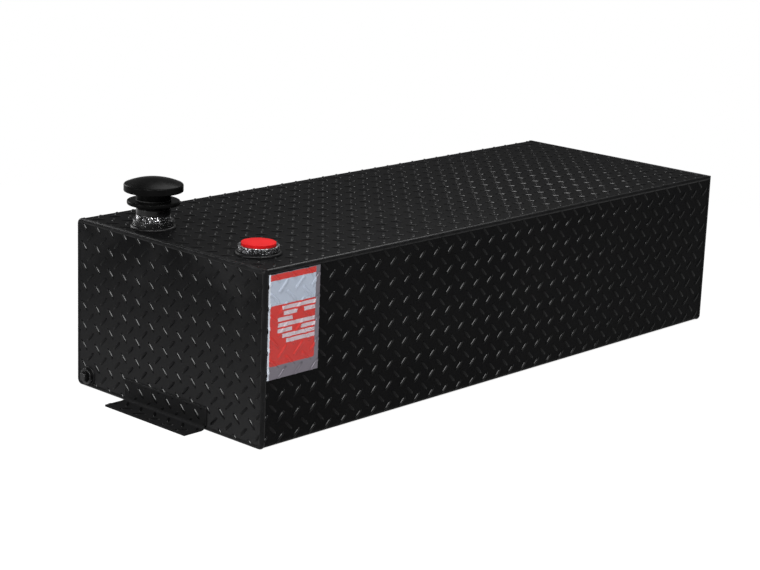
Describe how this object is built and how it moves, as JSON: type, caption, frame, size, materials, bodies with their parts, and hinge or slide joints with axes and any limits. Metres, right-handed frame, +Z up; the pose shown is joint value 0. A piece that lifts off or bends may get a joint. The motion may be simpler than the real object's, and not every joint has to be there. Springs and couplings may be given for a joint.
{
  "type": "truck bed transfer tank",
  "caption": "Rectangular fuel transfer tank of welded tread plate for a truck bed, with a vented screw cap, a plugged pump port, a drain and hold-down feet",
  "frame": {"origin": "under the middle of the tank, on the surface that it stands on", "axes": "+X along the tank away from the fittings, +Y from the labelled front wall to the back wall, +Z up"},
  "size_m": [1.3526, 0.484, 0.3937],
  "materials": {
    "coated_plate": "black powder coat over tread plate",
    "coated_weld": "black powder coat over rippled weld",
    "coated_fitting": "black powder coat over turned metal",
    "raw_aluminium": "bare, brushed and as welded",
    "black_plastic": "moulded, semi-gloss",
    "seal_rubber": "matt",
    "stainless": "bright",
    "red_plastic": "moulded, satin",
    "label_foil": "printed foil"
  },
  "bodies": {
    "tank": {"wrap_sheet": "coated_plate", "left_end_plate": "coated_plate", "right_end_plate": "coated_plate", "left_end_weld": "coated_weld", "right_end_weld": "coated_weld", "top_seam_weld": "coated_weld", "left_mount_bracket": "coated_plate", "right_mount_bracket": "coated_plate", "left_bracket_weld": "coated_weld", "right_bracket_weld": "coated_weld", "baffle_1": "raw_aluminium", "baffle_2": "raw_aluminium", "filler_bung": "coated_fitting", "filler_bung_weld": "coated_weld", "pump_bung": "coated_fitting", "pump_bung_weld": "coated_weld", "drain_bung": "coated_fitting", "drain_bung_weld": "coated_weld", "fill_nipple": "coated_fitting", "fill_neck": "black_plastic", "data_label": "label_foil"},
    "cap_seal": {"cap_seal_ring": "seal_rubber"},
    "cap_screen": {"vent_screen": "stainless"},
    "filler_cap": {"cap_body": "black_plastic", "cap_hood": "black_plastic", "vent_spring": "stainless"},
    "relief_valve": {"vent_poppet": "stainless", "vent_seal": "seal_rubber"},
    "pump_plug": {"pump_port_plug": "red_plastic"},
    "drain_screw": {"drain_plug": "coated_fitting"}
  },
  "joints": [
    {"name": "filler_cap_take_off", "type": "slide", "parent": "tank", "child": "cap_seal", "axis": [0, 0, 1], "range_m": [0, 0.15]},
    {"name": "filler_cap_lift", "type": "slide", "parent": "cap_seal", "child": "cap_screen", "axis": [0, 0, 1], "range_m": [0, 0.012]},
    {"name": "filler_cap_turn", "type": "hinge", "parent": "cap_screen", "child": "filler_cap", "pos_m": [-0.569, 0.105, 0.366], "axis": [0, 0, 1], "range_deg": [0, 1080]},
    {"name": "vent_relief", "type": "slide", "parent": "filler_cap", "child": "relief_valve", "axis": [0, 0, 1], "range_m": [0, 0.003], "stiffness_N_per_m": 150, "springref_m": -0.004, "deforming": ["vent_spring"]},
    {"name": "pump_plug_pull", "type": "slide", "parent": "tank", "child": "pump_plug", "axis": [0, 0, 1], "range_m": [0, 0.12]},
    {"name": "drain_plug_out", "type": "slide", "parent": "tank", "child": "drain_screw", "axis": [-1, 0, 0], "range_m": [0, 0.06]}
  ],
  "couplings": [
    {"joint": "filler_cap_lift", "follows": "filler_cap_turn", "m_per_rad": 0.0006366}
  ]
}
